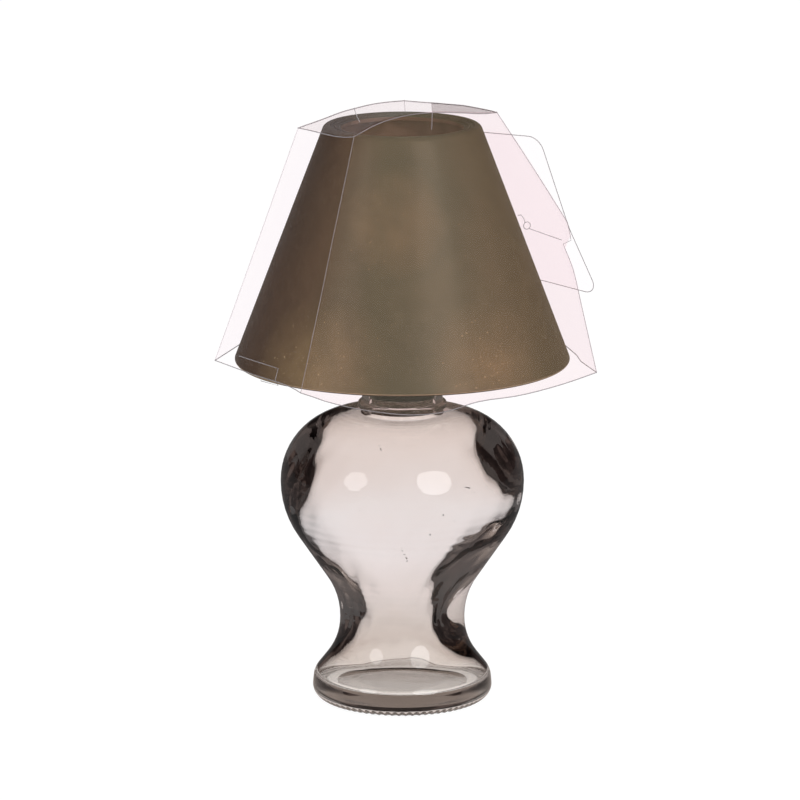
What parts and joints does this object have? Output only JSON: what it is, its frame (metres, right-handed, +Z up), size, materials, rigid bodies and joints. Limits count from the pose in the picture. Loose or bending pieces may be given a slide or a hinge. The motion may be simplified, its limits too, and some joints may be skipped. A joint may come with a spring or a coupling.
{
  "type": "candle lamp with shade",
  "caption": "Tealight lamp: hollow smoke-glass baluster base, metal candle cup and wire carrier, conical painted glass shade, clear film sleeve folded round the shade and over its top.",
  "frame": {"origin": "on the table under the middle of the foot", "axes": "+Z up along the lamp's axis, the pictured front towards -Y, +X to the right"},
  "size_m": [0.1826, 0.1781, 0.2913],
  "materials": {
    "smoke_glass": "polished, smoke tint",
    "painted_glass": "satin taupe paint with a fine metallic grain",
    "clear_film": "clear, cut and creased",
    "nickel": "nickel plated",
    "soft_rubber": "matt",
    "shell_aluminium": "drawn",
    "wax": "smooth paraffin wax",
    "wick_cotton": "braided cotton, waxed",
    "sustainer_steel": "tinned"
  },
  "bodies": {
    "base": {"glass_base": "smoke_glass"},
    "carrier": {"carrier_hub": "nickel", "carrier_ring": "nickel", "carrier_arm_1": "nickel", "carrier_arm_2": "nickel", "carrier_arm_3": "nickel", "shade_pad_1": "soft_rubber", "shade_pad_2": "soft_rubber", "shade_pad_3": "soft_rubber"},
    "cup": {"candle_cup": "nickel", "neck_gasket": "soft_rubber"},
    "tealight": {"tealight_shell": "shell_aluminium", "tealight_wax": "wax", "tealight_wick": "wick_cotton", "wick_sustainer": "sustainer_steel"},
    "shade": {"shade": "painted_glass"},
    "sleeve": {"clear_sleeve": "clear_film"}
  },
  "joints": [
    {"name": "carrier_lift", "type": "slide", "parent": "base", "child": "carrier", "axis": [0, 0, 1], "range_m": [0, 0.05]},
    {"name": "cup_lift", "type": "slide", "parent": "carrier", "child": "cup", "axis": [0, 0, 1], "range_m": [0, 0.04]},
    {"name": "tealight_lift", "type": "slide", "parent": "cup", "child": "tealight", "axis": [0, 0, 1], "range_m": [0, 0.04]},
    {"name": "shade_lift", "type": "slide", "parent": "carrier", "child": "shade", "axis": [0, 0, 1], "range_m": [0, 0.15]},
    {"name": "sleeve_lift", "type": "slide", "parent": "shade", "child": "sleeve", "axis": [0, 0, 1], "range_m": [0, 0.15]}
  ]
}
